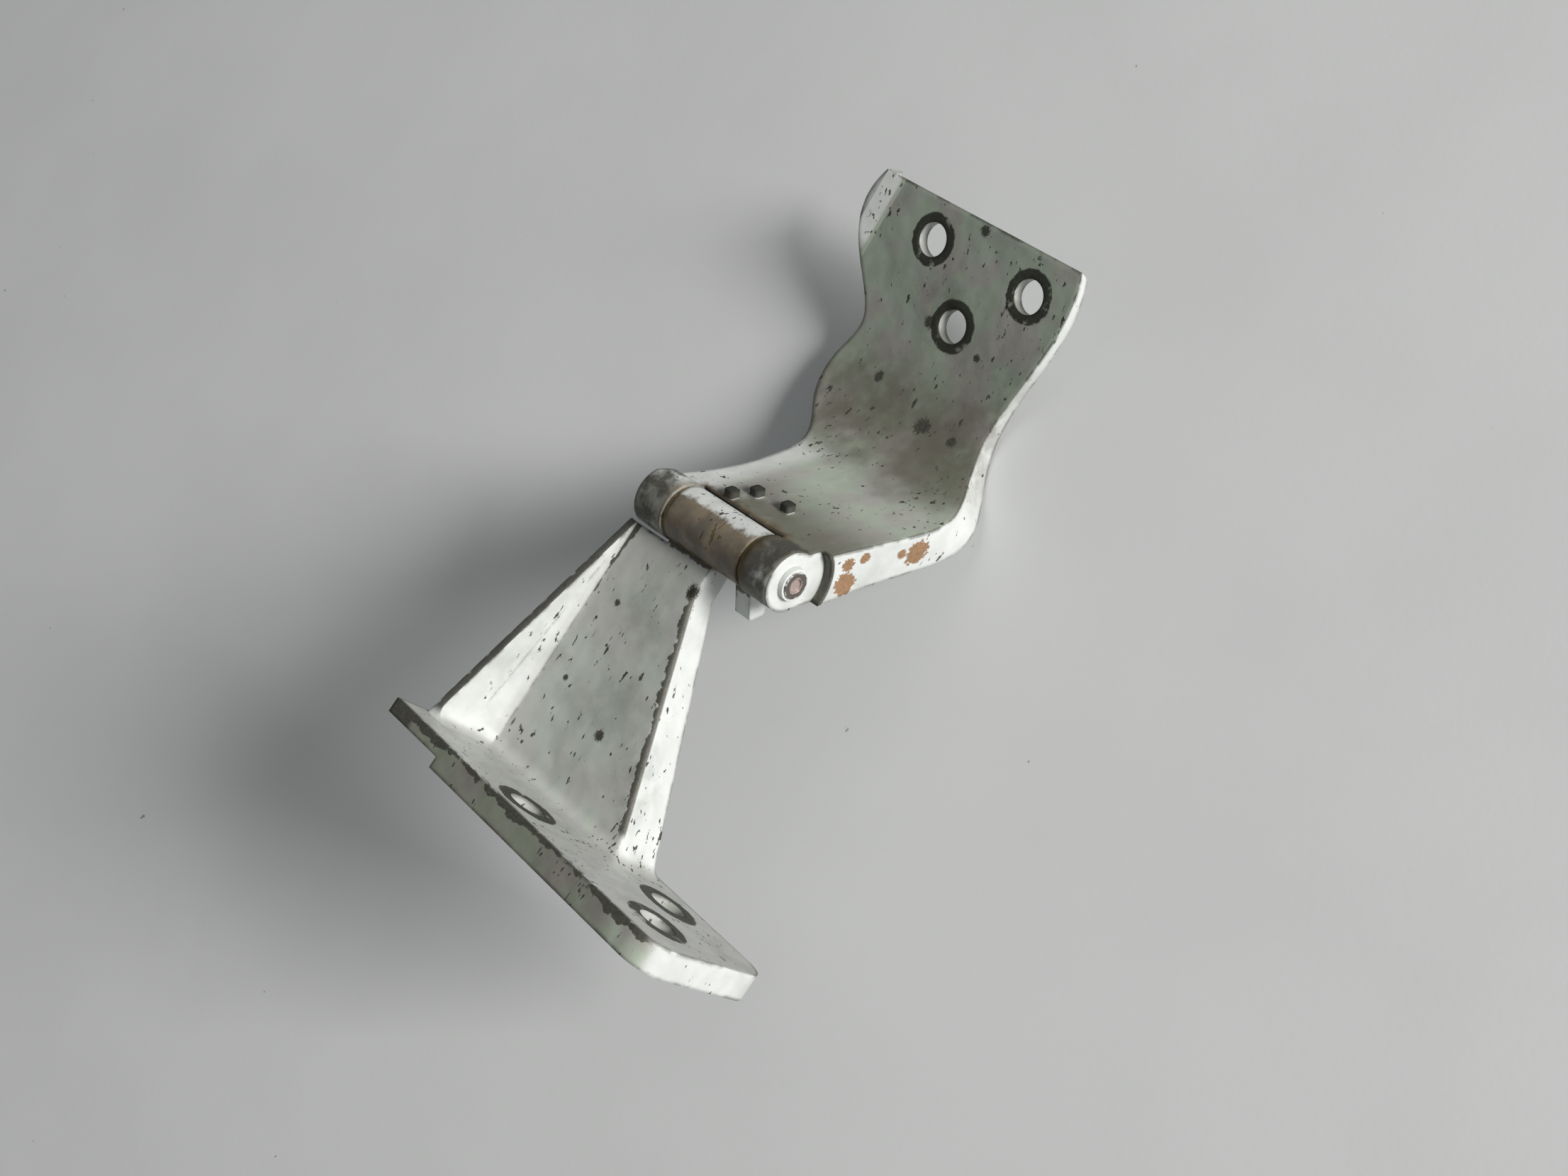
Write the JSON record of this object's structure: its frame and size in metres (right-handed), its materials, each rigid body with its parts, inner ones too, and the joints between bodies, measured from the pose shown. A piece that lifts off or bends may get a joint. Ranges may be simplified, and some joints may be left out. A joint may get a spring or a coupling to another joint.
{
  "type": "van door hinge",
  "caption": "Forged door hinge for a van: a flanged arm with a bolt-on plate and a cranked bracket with a bolt-on plate, turning on one riveted pin.",
  "frame": {"origin": "on the pin's axis, half-way along the knuckle", "axes": "+X from the pin along the arm's web to its mounting plate, whose face is turned 1.85 degrees from square; +Y along the pin from the left eye to the right eye as pictured; +Z the normal of the arm's web, on the side of the arm's upturned flange"},
  "size_m": [0.2224, 0.1337, 0.0903],
  "materials": {
    "arm_paint": "worn white paint over forged steel",
    "bracket_paint": "worn white paint over forged steel",
    "pin_steel": "dull worn steel",
    "bush_bronze": "dull greasy bronze"
  },
  "bodies": {
    "arm": {"arm_leaf": "arm_paint", "bush_left": "bush_bronze", "bush_right": "bush_bronze"},
    "bracket": {"bracket_leaf": "bracket_paint", "hinge_pin": "pin_steel"}
  },
  "joints": [
    {"name": "pin_hinge", "type": "hinge", "parent": "arm", "child": "bracket", "pos_m": [0, 0, 0], "axis": [0, 1, 0], "range_deg": [-16, 175]}
  ]
}
